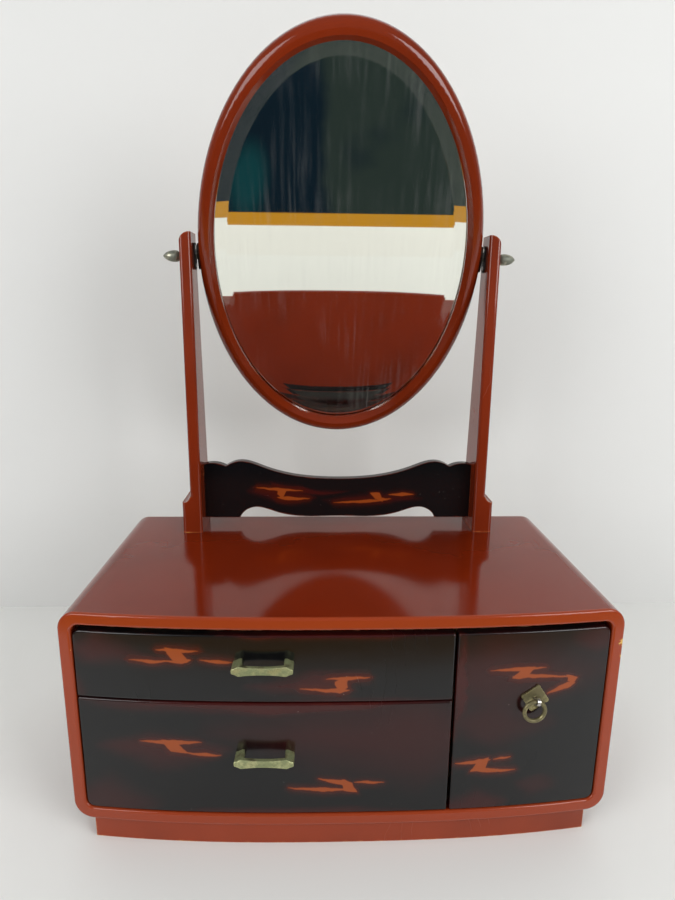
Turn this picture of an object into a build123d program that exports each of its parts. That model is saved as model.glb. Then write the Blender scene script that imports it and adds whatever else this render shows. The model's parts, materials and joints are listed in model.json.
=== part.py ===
"""Tabletop vanity: a bow-fronted lacquered case with three drawers, and an oval swing mirror on two posts.

Millimetres, +Z up, +X to the right of someone facing the front, -Y towards them. The origin is at
table level, in the middle of the width, on the line through the case's two front corners.
"""
import os
from math import atan, cos, degrees, radians, sin, sqrt

from build123d import *

os.makedirs("parts", exist_ok=True)

# Case: four boards mitred at rounded corners
case_width = 430.0
case_depth = 212.0  # at the sides, from the front corners to the back
case_height = 180.0
case_board = 10.0
corner_radius = 15.0
inner_corner_radius = 7.0
case_edge_round = 2.0
front_bow = 13.0  # how far the middle of the front stands out past its corners
bow_fullness = 2.5  # 2 is a parabola, more is flatter in the middle
back_panel_board = 4.0
back_rebate_width = 4.0
back_panel_sunk = 1.0

# Plinth
plinth_height = 21.0
plinth_side_inset = 14.5
plinth_front_recess = 5.0
plinth_back_inset = 10.0
plinth_board = 12.0

# Compartments
partition_x = 83.4  # middle of the upright between the left drawers and the deep one
divider_height = 99.5  # middle of the shelf between the left drawers, above the case floor
inner_board = 8.0
housing_depth = 3.0
inner_board_gap = 0.5  # from the drawer fronts' backs to the inner boards

# Drawers
front_recess = 1.0  # faces of the fronts behind the case's front edge
front_board = 10.0  # thickness at the case's corners, where it is least
front_side_gap = 0.8
front_top_gap = 4.5
front_floor_gap = 0.5
upright_seam = 2.0  # gap between the left fronts and the deep front
level_seam = 1.0  # gap between the two left fronts
front_edge_round = 1.5
inner_front_corner = 1.5
drawer_wall = 6.0
drawer_floor = 3.5
drawer_groove = 3.0
drawer_floor_lift = 5.0
drawer_running_gap = 0.4
drawer_side_round = 3.6  # lower outer edge of a side that runs in a rounded corner of the case
drawer_corner_gap = 0.3
drawer_side_drop = 4.0  # sides stop this far below the top of the front
drawer_back_drop = 5.0  # the back stops this far below the sides
drawer_rear_gap = 6.0
deep_drawer_side_height = 112.0

# Bar pulls
pull_length = 45.2
pull_lobe_height = 8.0
pull_waist_height = 5.6
pull_tip_height = 3.6
pull_lobe_x = 17.4
pull_shoulder_x = 19.8
pull_shoulder_height = 5.4
pull_leg_inner_x = 15.8
pull_standoff = 12.0
pull_bar = 3.2
pull_lift = 5.5  # centre of the pull above the centre of its front
pull_edge_ease = 0.5
pull_tip_round = 1.2
pull_lobe_round = 1.0
pull_leg_sink = 1.0  # legs are drawn this far past the bowed face, then trimmed to it
pull_screw_radius = 1.5
pull_screw_head_radius = 2.8
pull_screw_head = 1.8
pull_screw_bite = 5.0
screw_clearance = 0.05

# Ring pull
ring_pull_shift = 2.5  # right of the deep front's middle
ring_pull_lift = 21.0  # above the deep front's middle
ring_pull_lean = 12.0  # degrees clockwise, as it was put on
ring_plate_diagonal = 22.4
ring_plate_board = 1.2
ring_plate_corner_width = 4.2
ring_plate_bulge = 0.55
eye_height = 4.6  # centre of the staple's eye above the plate
eye_hole_radius = 2.15
staple_width = 2.6  # along the ring's tube
staple_strip = 0.9
staple_prong = 8.0
ring_major_radius = 8.2
ring_tube_radius = 1.65

# Stand
post_inner_x = 135.5
post_width = 11.0
post_foot_width = 19.0
post_foot_height = 31.0
post_cove = 6.0
post_height = 285.5
post_back_inset = 2.0  # backs of the feet in from the back of the case
post_top_depth = 25.0
post_foot_depth = 46.0
post_top_round = 10.0
post_edge_round = 3.0
stand_screw_radius = 2.0
stand_screw_head_radius = 4.0
stand_screw_length = 34.0
stand_screw_spacing = 26.0

# Stretcher between the posts, heights above the case top
stretcher_setback = 20.0  # its face behind the fronts of the posts
stretcher_board = 8.0
stretcher_lift = 9.0
stretcher_end_top = 64.0
stretcher_end_hump = (126.0, 66.6)
stretcher_valley = (113.3, 63.2)
stretcher_hump = (98.0, 68.5)
stretcher_fall = (74.0, 61.6)
stretcher_dip = 50.4
arch_foot_x = 100.0
arch_rise = (95.2, 15.8)
arch_peak = (88.0, 19.6)
arch_fall = (62.0, 14.6)
arch_middle = 10.6

# Mirror, in the plane of its own glass
mirror_tilt = 25.0  # degrees, top towards the viewer, as photographed
pivot_height = 265.0  # above the case top
pivot_setback = 16.0  # behind the fronts of the posts
pivot_behind_glass = 3.0
mirror_drop = 3.4  # centre of the oval below the pivots
frame_half_width = 130.5
frame_half_height = 191.0
frame_rail_side = 14.5
frame_rail_end = 16.3
frame_front = 8.5  # ridge above the face of the glass
frame_thickness = 18.0
frame_outer_round = 9.0
frame_back_round = 1.5
frame_slope_width = 4.0
frame_slope_depth = 6.5
glass_rebate = 4.0
glass_thickness = 5.0
glass_bevel_width = 11.0
glass_bevel_depth = 1.8
glass_gap = 0.5
mirror_back_board = 3.0
sprig_count = 8
sprig_board = 1.2
sprig_length = 10.0

# Pivots
pivot_plate_board = 1.6
pivot_plate_height = 24.0
pivot_plate_width = 11.0
frame_plate_sunk = 0.4
pivot_screw_radius = 2.25
pivot_running_gap = 0.05
pivot_end_wall = 2.0  # frame left between the end of a pivot screw and the glass rebate
pivot_end_gap = 0.5
plate_screw_radius = 1.0
plate_screw_head_radius = 1.9
plate_screw_head = 1.2
plate_screw_length = 8.0
plate_screw_spacing = 16.0
washer_radius = 4.0
washer_board = 1.0
acorn_length = 16.6
acorn_neck = 1.4
acorn_belly = 5.3
acorn_radius = 5.2
acorn_neck_step = 0.15  # shoulder that bears on the washer, past the screw's radius

# Places worked out from the sizes above
case_top_z = plinth_height + case_height
case_floor_z = plinth_height + case_board
case_ceiling_z = case_top_z - case_board
inside_x = case_width / 2 - case_board
fronts_back_y = front_board
inner_boards_y = fronts_back_y + inner_board_gap
back_rebate = back_panel_board + back_panel_sunk
inner_back_y = case_depth - back_rebate
divider_z = case_floor_z + divider_height
post_front_y = case_depth - post_back_inset - post_foot_depth
stretcher_y = post_front_y + stretcher_setback
pivot_y = post_front_y + pivot_setback
acorn_neck_radius = pivot_screw_radius + acorn_neck_step
reach = case_width + case_depth


def save(piece, node):
    """Name a finished piece after its node and write it."""
    piece.label = node
    export_step(piece, f"parts/{node}.step")


def bow_y(x):
    """Front of the case in plan: y = -bow (1 - |2x / width| ** fullness)."""
    return -front_bow * (1 - abs(2 * x / case_width) ** bow_fullness)


def bow_angle(x):
    """Turn of the bowed front about Z at x, in degrees, from the slope of bow_y."""
    share = abs(2 * x / case_width) ** (bow_fullness - 1)
    slope = front_bow * bow_fullness * 2 / case_width * share
    return degrees(atan(slope if x > 0 else -slope))


def bowed_plan(recess, back_y):
    """Plan between the bowed front, set back by recess, and a straight back."""
    steps = 12
    stations = [case_width * (step / steps - 0.5) for step in range(steps + 1)]
    with BuildSketch() as plan:
        with BuildLine():
            front = Spline(*[(x, bow_y(x) + recess) for x in stations])
            Polyline(front @ 1, (case_width / 2, back_y), (-case_width / 2, back_y), front @ 0)
        make_face()
    return plan.sketch


def front_plane(x, z, lean=0.0):
    """Plane on the face of a drawer front at x, z: local z outwards, turned by lean degrees."""
    turn = radians(bow_angle(x))
    tangent = Vector(cos(turn), sin(turn), 0)
    outward = Vector(sin(turn), -cos(turn), 0)
    along = tangent * cos(radians(lean)) - Vector(0, 0, 1) * sin(radians(lean))
    return Plane(origin=(x, bow_y(x) + front_recess, z), x_dir=along, z_dir=outward)


# Upright partition and shelf, let into the boards around them
with BuildPart() as divider:
    left_end = -inside_x - housing_depth
    right_end = partition_x - inner_board / 2 + housing_depth
    with BuildSketch(Plane.XY.offset(divider_z - inner_board / 2)):
        with Locations((left_end, inner_boards_y)):
            Rectangle(right_end - left_end, inner_back_y - inner_boards_y, align=(Align.MIN, Align.MIN))
    extrude(amount=inner_board)
save(divider.part, "divider")

with BuildPart() as partition:
    with BuildSketch(Plane.XY.offset(case_floor_z - housing_depth)):
        with Locations((partition_x, inner_boards_y)):
            Rectangle(inner_board, inner_back_y - inner_boards_y, align=(Align.CENTER, Align.MIN))
    extrude(amount=case_ceiling_z - case_floor_z + 2 * housing_depth)
    add(divider.part, mode=Mode.SUBTRACT)
save(partition.part, "partition")

# The case as one rounded, bowed ring, before it is parted at the mitres
with BuildPart() as case_ring:
    with BuildSketch(Plane.XY.offset(plinth_height)):
        add(bowed_plan(0, case_depth))
    extrude(amount=case_height)
    with BuildSketch(Plane.XZ):
        with Locations((0, plinth_height + case_height / 2)):
            RectangleRounded(case_width, case_height, corner_radius)
            RectangleRounded(2 * inside_x, case_height - 2 * case_board, inner_corner_radius, mode=Mode.SUBTRACT)
    extrude(amount=reach, both=True, mode=Mode.INTERSECT)
    fillet(case_ring.faces().sort_by(Axis.Y)[0].edges(), radius=case_edge_round)
    with BuildSketch(Plane.XZ.offset(-case_depth)):
        with Locations((0, plinth_height + case_height / 2)):
            RectangleRounded(
                2 * (inside_x + back_rebate_width),
                case_height - 2 * (case_board - back_rebate_width),
                inner_corner_radius,
            )
    extrude(amount=back_rebate, mode=Mode.SUBTRACT)
    add(partition.part, mode=Mode.SUBTRACT)
    add(divider.part, mode=Mode.SUBTRACT)

with BuildPart() as back_panel:
    with BuildSketch(Plane.XZ.offset(-inner_back_y)):
        with Locations((0, plinth_height + case_height / 2)):
            RectangleRounded(
                2 * (inside_x + back_rebate_width),
                case_height - 2 * (case_board - back_rebate_width),
                inner_corner_radius,
            )
    extrude(amount=-back_panel_board)
save(back_panel.part, "back_panel")


def mitre(side, level):
    """Plane through a case corner at 45 degrees, its normal towards the side board."""
    corner_z = case_top_z if level > 0 else plinth_height
    return Plane(origin=(side * case_width / 2, 0, corner_z), x_dir=(0, 1, 0), z_dir=(side, 0, -level))


# Stand screws go up through the case top into the feet of the posts
stand_screw_spots = [
    (side * (post_inner_x + post_foot_width / 2), post_front_y + post_foot_depth / 2 + along)
    for side in (-1, 1)
    for along in (-stand_screw_spacing / 2, stand_screw_spacing / 2)
]


def stand_screws_at(radius_gap):
    """Countersunk screws from the underside of the case top, all radii grown by radius_gap."""
    with BuildPart() as screws:
        with BuildSketch(Plane.XY.offset(case_ceiling_z)):
            with Locations(*stand_screw_spots):
                Circle(stand_screw_radius + radius_gap)
        extrude(amount=stand_screw_length)
        with Locations(*[(x, y, case_ceiling_z) for x, y in stand_screw_spots]):
            Cone(
                stand_screw_head_radius + radius_gap,
                stand_screw_radius + radius_gap,
                stand_screw_head_radius - stand_screw_radius,
                align=(Align.CENTER, Align.CENTER, Align.MIN),
            )
    return screws.part


stand_screws = stand_screws_at(0)
save(stand_screws, "stand_screws")

case_middle = Plane.XY.offset(plinth_height + case_height / 2)
with BuildPart() as case_top:
    add(case_ring.part)
    split(bisect_by=case_middle, keep=Keep.TOP)
    for side in (-1, 1):
        split(bisect_by=mitre(side, 1), keep=Keep.BOTTOM)
    add(stand_screws_at(screw_clearance), mode=Mode.SUBTRACT)
save(case_top.part, "case_top")

with BuildPart() as case_bottom:
    add(case_ring.part)
    split(bisect_by=case_middle, keep=Keep.BOTTOM)
    for side in (-1, 1):
        split(bisect_by=mitre(side, -1), keep=Keep.BOTTOM)
save(case_bottom.part, "case_bottom")

for side, side_name in ((-1, "left"), (1, "right")):
    with BuildPart() as case_side:
        add(case_ring.part)
        for level in (-1, 1):
            split(bisect_by=mitre(side, level), keep=Keep.TOP)
    save(case_side.part, f"case_side_{side_name}")

# Plinth: a bowed front rail, two side rails and a back rail
plinth_half_width = case_width / 2 - plinth_side_inset
plinth_front_back_y = bow_y(plinth_half_width) + plinth_front_recess + plinth_board
plinth_back_y = case_depth - plinth_back_inset

with BuildPart() as plinth_front:
    with BuildSketch():
        add(bowed_plan(plinth_front_recess, plinth_front_back_y))
    extrude(amount=plinth_height)
    with BuildSketch():
        Rectangle(2 * plinth_half_width, reach)
    extrude(amount=plinth_height, mode=Mode.INTERSECT)
    fillet(plinth_front.edges().filter_by(Axis.Z).group_by(Axis.Y)[0], radius=case_edge_round)
save(plinth_front.part, "plinth_front")

for side, side_name in ((-1, "left"), (1, "right")):
    with BuildPart() as plinth_side:
        with BuildSketch():
            with Locations((side * (plinth_half_width - plinth_board / 2), plinth_front_back_y)):
                Rectangle(plinth_board, plinth_back_y - plinth_front_back_y, align=(Align.CENTER, Align.MIN))
        extrude(amount=plinth_height)
    save(plinth_side.part, f"plinth_side_{side_name}")

with BuildPart() as plinth_back:
    with BuildSketch():
        with Locations((0, plinth_back_y)):
            Rectangle(2 * (plinth_half_width - plinth_board), plinth_board, align=(Align.CENTER, Align.MAX))
    extrude(amount=plinth_height)
save(plinth_back.part, "plinth_back")


def pull_screws_at(x, z, radius_gap):
    """Two screws from inside a drawer, through its front and into the legs of its bar pull."""
    leg_x = (pull_leg_inner_x + pull_length / 2) / 2
    face_y = bow_y(x) + front_recess
    with BuildPart() as screws:
        for leg in (-leg_x, leg_x):
            with BuildSketch(Plane.XZ.offset(-fronts_back_y)):
                with Locations((x + leg, z)):
                    Circle(pull_screw_radius + radius_gap)
            extrude(amount=fronts_back_y - face_y + pull_screw_bite + radius_gap)
            with BuildSketch(Plane.XZ.offset(-fronts_back_y)):
                with Locations((x + leg, z)):
                    Circle(pull_screw_head_radius)
            extrude(amount=-pull_screw_head)
    return screws.part


def build_drawer(name, front_box, box, rounded):
    """A drawer: a bowed front, two sides, a back and a floor, each let into its neighbours.

    front_box and box are (x_low, x_high, z_low, z_high); rounded names the front's corners, as
    (x side, z side), that follow the inside corners of the case.
    """
    x_low, x_high, z_low, z_high = front_box
    box_left, box_right, box_low, box_high = box
    drawer_back_y = inner_back_y - drawer_rear_gap
    cornered = [x_side for x_side, z_side in rounded if z_side < 0]
    floor_z = box_low + drawer_floor_lift
    follow_radius = inner_corner_radius - front_side_gap

    with BuildPart() as floor:
        with BuildSketch(Plane.XY.offset(floor_z)):
            with Locations((box_left + drawer_wall - drawer_groove, fronts_back_y - drawer_groove)):
                Rectangle(
                    box_right - box_left - 2 * (drawer_wall - drawer_groove),
                    drawer_back_y - fronts_back_y + drawer_groove,
                    align=(Align.MIN, Align.MIN),
                )
        extrude(amount=drawer_floor)
    save(floor.part, f"{name}_floor")

    sides = []
    for side_x, way, side_name in ((box_left, -1, "left"), (box_right - drawer_wall, 1, "right")):
        with BuildPart() as side_board:
            with BuildSketch(Plane.XY.offset(box_low)):
                with Locations((side_x, fronts_back_y - drawer_groove)):
                    Rectangle(
                        drawer_wall,
                        drawer_back_y - fronts_back_y + drawer_groove,
                        align=(Align.MIN, Align.MIN),
                    )
            extrude(amount=box_high - box_low)
            if way in cornered:
                low_edges = side_board.edges().filter_by(Axis.Y).group_by(Axis.Z)[0]
                fillet(low_edges.sort_by(Axis.X, reverse=way > 0)[0], radius=drawer_side_round)
            add(floor.part, mode=Mode.SUBTRACT)
        save(side_board.part, f"{name}_side_{side_name}")
        sides.append(side_board.part)

    with BuildPart() as back:
        with BuildSketch(Plane.XY.offset(floor_z + drawer_floor)):
            with Locations((box_left + drawer_wall, drawer_back_y)):
                Rectangle(box_right - box_left - 2 * drawer_wall, drawer_wall, align=(Align.MIN, Align.MAX))
        extrude(amount=box_high - drawer_back_drop - floor_z - drawer_floor)
    save(back.part, f"{name}_back")

    with BuildPart() as front:
        with BuildSketch(Plane.XY.offset(z_low)):
            add(bowed_plan(front_recess, fronts_back_y))
        extrude(amount=z_high - z_low)
        with BuildSketch(Plane.XZ) as outline:
            with Locations((x_low, z_low)):
                Rectangle(x_high - x_low, z_high - z_low, align=(Align.MIN, Align.MIN))
            for x_side, z_side in ((-1, -1), (-1, 1), (1, -1), (1, 1)):
                spot = Vector(x_low if x_side < 0 else x_high, z_low if z_side < 0 else z_high)
                radius = follow_radius if (x_side, z_side) in rounded else inner_front_corner
                fillet(outline.vertices().sort_by_distance(spot)[0], radius=radius)
        extrude(amount=reach, both=True, mode=Mode.INTERSECT)
        fillet(front.faces().sort_by(Axis.Y)[0].edges(), radius=front_edge_round)
        for let_in in (floor.part, *sides):
            add(let_in, mode=Mode.SUBTRACT)
    return front


def pull_outline():
    """Front view of a bar pull: waisted between two lobes, each end stepping down to a blunt tip."""
    lobe = (pull_lobe_x, pull_lobe_height / 2)
    shoulder = (pull_shoulder_x, pull_shoulder_height / 2)
    tip = (pull_length / 2, pull_tip_height / 2)
    with BuildSketch() as outline:
        with BuildLine():
            for way in (1, -1):
                waist = (0, way * pull_waist_height / 2)
                ThreePointArc((-lobe[0], way * lobe[1]), waist, (lobe[0], way * lobe[1]))
                end = [(way * x, z) for x, z in (lobe, shoulder, tip)]
                Polyline(*end, *[(x, -z) for x, z in reversed(end)])
        make_face()
        fillet(outline.vertices().filter_by(lambda v: abs(v.X) > pull_shoulder_x + 1), radius=pull_tip_round)
        fillet(outline.vertices().filter_by(lambda v: abs(v.X) < pull_shoulder_x - 1), radius=pull_lobe_round)
    return outline.sketch


def build_bar_pull(name, front, front_box):
    """Cast bar pull, its end outlines run back as legs that seat on the bowed front, and its screws."""
    x = (front_box[0] + front_box[1]) / 2
    z = (front_box[2] + front_box[3]) / 2 + pull_lift
    plane = front_plane(x, z)
    with BuildPart() as pull:
        with BuildSketch(plane.offset(-pull_leg_sink)):
            add(pull_outline())
            Rectangle(2 * pull_leg_inner_x, 2 * pull_lobe_height, mode=Mode.SUBTRACT)
        extrude(amount=pull_leg_sink + pull_standoff - pull_bar)
        add(front.part, mode=Mode.SUBTRACT)
        with BuildSketch(plane.offset(pull_standoff - pull_bar)):
            add(pull_outline())
        extrude(amount=pull_bar)
        chamfer(pull.faces().sort_by(Axis.Y)[0].edges(), length=pull_edge_ease)
        add(pull_screws_at(x, z, screw_clearance), mode=Mode.SUBTRACT)
    save(pull.part, f"{name}_pull")
    save(pull_screws_at(x, z, 0), f"{name}_pull_screws")
    with BuildPart() as drilled:
        add(front.part)
        add(pull_screws_at(x, z, screw_clearance), mode=Mode.SUBTRACT)
    save(drilled.part, f"{name}_front")


left_front_x = -inside_x + front_side_gap
left_front_end_x = partition_x - upright_seam / 2
fronts_low_z = case_floor_z + front_floor_gap
fronts_high_z = case_ceiling_z - front_top_gap
partition_left_x = partition_x - inner_board / 2
partition_right_x = partition_x + inner_board / 2

# A side board at the case floor stands off the wall until its rounded edge clears the corner there:
# its arc, of drawer_side_round, touches the corner's arc from the inside
corner_play = inner_corner_radius - drawer_side_round
corner_side_gap = drawer_corner_gap + max(
    drawer_running_gap,
    corner_play - sqrt(max(corner_play**2 - (corner_play - drawer_running_gap) ** 2, 0)),
)

upper_front_box = (left_front_x, left_front_end_x, divider_z + level_seam / 2, fronts_high_z)
upper_box = (
    -inside_x + drawer_running_gap,
    partition_left_x - drawer_running_gap,
    divider_z + inner_board / 2 + drawer_running_gap,
    fronts_high_z - drawer_side_drop,
)
upper_front = build_drawer("upper_drawer", upper_front_box, upper_box, [(-1, 1)])
build_bar_pull("upper_drawer", upper_front, upper_front_box)

lower_front_box = (left_front_x, left_front_end_x, fronts_low_z, divider_z - level_seam / 2)
lower_box = (
    -inside_x + corner_side_gap,
    partition_left_x - drawer_running_gap,
    case_floor_z + drawer_running_gap,
    divider_z - inner_board / 2 - drawer_side_drop,
)
lower_front = build_drawer("lower_drawer", lower_front_box, lower_box, [(-1, -1)])
build_bar_pull("lower_drawer", lower_front, lower_front_box)

deep_front_box = (partition_x + upright_seam / 2, inside_x - front_side_gap, fronts_low_z, fronts_high_z)
deep_box = (
    partition_right_x + drawer_running_gap,
    inside_x - corner_side_gap,
    case_floor_z + drawer_running_gap,
    case_floor_z + drawer_running_gap + deep_drawer_side_height,
)
deep_front = build_drawer("deep_drawer", deep_front_box, deep_box, [(1, -1), (1, 1)])

# Ring pull on the deep drawer: scalloped plate, split-pin staple, free ring
ring_x = (deep_front_box[0] + deep_front_box[1]) / 2 + ring_pull_shift
ring_z = (deep_front_box[2] + deep_front_box[3]) / 2 + ring_pull_lift
ring_plane = front_plane(ring_x, ring_z, ring_pull_lean)
staple_bore = sqrt(staple_width**2 / 4 + staple_strip**2) + screw_clearance
eye_centre = ring_plane.origin + ring_plane.z_dir * (ring_plate_board + eye_height)


def plate_corners():
    """Corner lobes of the plate: the two ends of each lobe's arc and its outermost point."""
    tip = ring_plate_diagonal / 2
    half = ring_plate_corner_width / 2
    lobes = []
    for quarter in range(4):
        turn = radians(90 * quarter)
        ends = []
        for across, out in ((-half, tip - half), (0, tip), (half, tip - half)):
            ends.append((out * cos(turn) - across * sin(turn), out * sin(turn) + across * cos(turn)))
        lobes.append(ends)
    return lobes


with BuildPart() as ring_plate:
    with BuildSketch(ring_plane.offset(-ring_plate_board)):
        with BuildLine():
            lobes = plate_corners()
            bumps = 3
            for here, ahead in zip(lobes, lobes[1:] + lobes[:1]):
                ThreePointArc(*here)
                start = Vector(*here[2])
                run = Vector(*ahead[0]) - start
                outward = Vector(run.Y, -run.X).normalized() * ring_plate_bulge
                for bump in range(bumps):
                    low = start + run * (bump / bumps)
                    high = start + run * ((bump + 1) / bumps)
                    ThreePointArc(low, (low + high) / 2 + outward, high)
        make_face()
    extrude(amount=2 * ring_plate_board)
    add(deep_front.part, mode=Mode.SUBTRACT)
    with BuildSketch(ring_plane.offset(-ring_plate_board)):
        Circle(staple_bore)
    extrude(amount=3 * ring_plate_board, mode=Mode.SUBTRACT)
save(ring_plate.part, "ring_plate")

with BuildPart() as deep_drawer_front:
    add(deep_front.part)
    with BuildSketch(ring_plane.offset(ring_plate_board)):
        Circle(staple_bore)
    extrude(amount=-reach, mode=Mode.SUBTRACT)
save(deep_drawer_front.part, "deep_drawer_front")

# Split staple of flat strip: an eye in front, two legs side by side through the front, prongs bent
# apart and flat against its back
board_at_ring = (fronts_back_y - bow_y(ring_x) - front_recess) / cos(radians(bow_angle(ring_x)))
with BuildPart() as ring_staple:
    eye_radius = eye_hole_radius + staple_strip
    eye_plane = Plane(origin=eye_centre, x_dir=ring_plane.z_dir, z_dir=ring_plane.x_dir)
    with BuildSketch(eye_plane):
        with BuildLine():
            back_x = -ring_plate_board - eye_height - board_at_ring
            knee_x = -sqrt(eye_radius**2 - staple_strip**2)
            Line((knee_x, staple_strip), (back_x, staple_strip))
            prong_end = staple_strip + staple_prong
            Polyline(
                (back_x, staple_strip),
                (back_x, prong_end),
                (back_x - staple_strip, prong_end),
                (back_x - staple_strip, -prong_end),
                (back_x, -prong_end),
                (back_x, -staple_strip),
                (knee_x, -staple_strip),
            )
            ThreePointArc((knee_x, -staple_strip), (eye_radius, 0), (knee_x, staple_strip))
        make_face()
        Circle(eye_hole_radius, mode=Mode.SUBTRACT)
    extrude(amount=staple_width / 2, both=True)
    add(deep_drawer_front.part, mode=Mode.SUBTRACT)
save(ring_staple.part, "ring_staple")

with BuildPart() as pull_ring:
    ring_centre = eye_centre - ring_plane.y_dir * ring_major_radius
    with BuildSketch(Plane(origin=eye_centre, x_dir=ring_plane.z_dir, z_dir=ring_plane.x_dir)):
        Circle(ring_tube_radius)
    revolve(axis=Axis(ring_centre, ring_plane.z_dir))
save(pull_ring.part, "pull_ring")


def both_ways(points, middle):
    """Points for x above 0 from the outside in, the height at the middle, then their mirror images."""
    return [*points, (0, middle), *[(-x, z) for x, z in reversed(points)]]


# Stretcher: one curve from hump to hump, and an arch below that follows it more shallowly
with BuildPart() as stretcher:
    end_x = post_inner_x + housing_depth
    with BuildSketch(Plane(origin=(0, stretcher_y, case_top_z), x_dir=(1, 0, 0), z_dir=(0, -1, 0))):
        with BuildLine():
            for way in (1, -1):
                end_top = (way * end_x, stretcher_end_top)
                hump_x, hump_z = stretcher_end_hump
                valley_x, valley_z = stretcher_valley
                ThreePointArc(end_top, (way * hump_x, hump_z), (way * valley_x, valley_z))
                Polyline(end_top, (way * end_x, stretcher_lift), (way * arch_foot_x, stretcher_lift))
            Spline(*both_ways([stretcher_valley, stretcher_hump, stretcher_fall], stretcher_dip))
            arch_foot = (arch_foot_x, stretcher_lift)
            Spline(*both_ways([arch_foot, arch_rise, arch_peak, arch_fall], arch_middle))
        make_face()
    extrude(amount=-stretcher_board)
save(stretcher.part, "stretcher")

# Pivots and posts
pivot_z = case_top_z + pivot_height
post_outer_x = post_inner_x + post_width
post_top_z = case_top_z + post_height
plate_outer_x = frame_half_width + pivot_plate_board - frame_plate_sunk
plate_screw_steps = (-plate_screw_spacing / 2, plate_screw_spacing / 2)
pivot_screw_end_x = frame_half_width - frame_rail_side + glass_rebate + pivot_end_wall


def pivot_plane(x, outward, tilt):
    """Plane across the pivots at x: local z along outward (+1 or -1) X, local y up, leaning by tilt degrees."""
    back = Vector(0, cos(radians(tilt)), sin(radians(tilt)))
    return Plane(origin=(x, pivot_y, pivot_z), x_dir=back * outward, z_dir=(outward, 0, 0))


def pivot_plate(plane):
    """Slotted-end plate from the plane along its normal, bored for the pivot, with its two screw holes."""
    with BuildPart() as plate:
        with BuildSketch(plane):
            SlotOverall(pivot_plate_height, pivot_plate_width, rotation=90)
            Circle(pivot_screw_radius + pivot_running_gap, mode=Mode.SUBTRACT)
        extrude(amount=pivot_plate_board)
        add(plate_screws(plane.offset(pivot_plate_board), screw_clearance), mode=Mode.SUBTRACT)
    return plate.part


def plate_screws(face_plane, radius_gap):
    """Two countersunk screws, heads flush with the plate's face, going back against its normal."""
    with BuildPart() as screws:
        for step in plate_screw_steps:
            shank = Plane(
                origin=face_plane.from_local_coords((0, step, 0)),
                x_dir=face_plane.x_dir,
                z_dir=face_plane.z_dir * -1,
            )
            with BuildSketch(shank):
                Circle(plate_screw_radius + radius_gap)
            extrude(amount=plate_screw_length + radius_gap)
            with Locations(shank):
                Cone(
                    plate_screw_head_radius + radius_gap,
                    plate_screw_radius + radius_gap,
                    plate_screw_head,
                    align=(Align.CENTER, Align.CENTER, Align.MIN),
                )
    return screws.part


def pivot_bore(side, from_x, to_x):
    """Cylinder that clears the pivot screw, between two distances from the middle."""
    with BuildPart() as bore:
        with BuildSketch(pivot_plane(side * from_x, side, 0)):
            Circle(pivot_screw_radius + pivot_running_gap)
        extrude(amount=to_x - from_x)
    return bore.part


def build_post(side, side_name):
    """Post on its wider foot: coved shoulder, back tapering upwards, outer top corner rounded."""
    inner = side * post_inner_x
    against = Align.MIN if side > 0 else Align.MAX
    shoulder_z = case_top_z + post_foot_height
    with BuildPart() as post:
        for width, depth, height in (
            (post_foot_width, post_foot_depth, post_foot_height + post_cove),
            (post_width, post_foot_depth, post_height),
        ):
            with BuildSketch(Plane.XY.offset(case_top_z)) as footprint:
                with Locations((inner, post_front_y)):
                    Rectangle(width, depth, align=(against, Align.MIN))
                fillet(footprint.vertices().group_by(Axis.Y)[0], radius=post_edge_round)
            extrude(amount=height)
        foot_outer = side * (post_inner_x + post_foot_width)
        outer = side * post_outer_x
        away = side * (post_outer_x + post_foot_width)
        with BuildSketch(Plane.XZ):
            with BuildLine():
                cove_middle = (outer + (foot_outer - outer) * 0.3, shoulder_z + post_cove * 0.3)
                ThreePointArc((outer, shoulder_z + post_cove), cove_middle, (foot_outer, shoulder_z))
                Polyline(
                    (foot_outer, shoulder_z),
                    (away, shoulder_z),
                    (away, shoulder_z + post_cove),
                    (outer, shoulder_z + post_cove),
                )
            make_face()
            with BuildLine():
                start = (outer, post_top_z - post_top_round)
                end = (outer - side * post_top_round, post_top_z)
                drop = post_top_round * (1 - sqrt(0.5))
                ThreePointArc(start, (outer - side * drop, post_top_z - drop), end)
                Polyline(end, (away, post_top_z), (away, start[1]), start)
            make_face()
        extrude(amount=reach, both=True, mode=Mode.SUBTRACT)
        with BuildSketch(Plane.YZ):
            back_y = post_front_y + post_foot_depth
            with BuildLine():
                Polyline(
                    (back_y, shoulder_z),
                    (post_front_y + post_top_depth, post_top_z),
                    (back_y, post_top_z),
                    (back_y, shoulder_z),
                )
            make_face()
        extrude(amount=reach, both=True, mode=Mode.SUBTRACT)
        add(stretcher.part, mode=Mode.SUBTRACT)
        add(stand_screws_at(screw_clearance), mode=Mode.SUBTRACT)
        add(pivot_bore(side, post_inner_x, post_outer_x), mode=Mode.SUBTRACT)
        add(plate_screws(post_plate_face(side), screw_clearance), mode=Mode.SUBTRACT)
    save(post.part, f"post_{side_name}")


def post_plate_face(side):
    """Plane of a post plate's face, its normal towards the mirror."""
    return pivot_plane(side * (post_inner_x - pivot_plate_board), -side, 0)


def frame_plate_face(side):
    """Plane of a frame plate's face, its normal towards the post, leaning with the mirror."""
    return pivot_plane(side * plate_outer_x, side, mirror_tilt)


for side, side_name in ((-1, "left"), (1, "right")):
    build_post(side, side_name)
    save(pivot_plate(post_plate_face(side).offset(-pivot_plate_board)), f"post_plate_{side_name}")
    save(pivot_plate(frame_plate_face(side).offset(-pivot_plate_board)), f"frame_plate_{side_name}")

save(Compound([plate_screws(post_plate_face(side), 0) for side in (-1, 1)]), "post_plate_screws")
save(Compound([plate_screws(frame_plate_face(side), 0) for side in (-1, 1)]), "frame_plate_screws")

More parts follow.
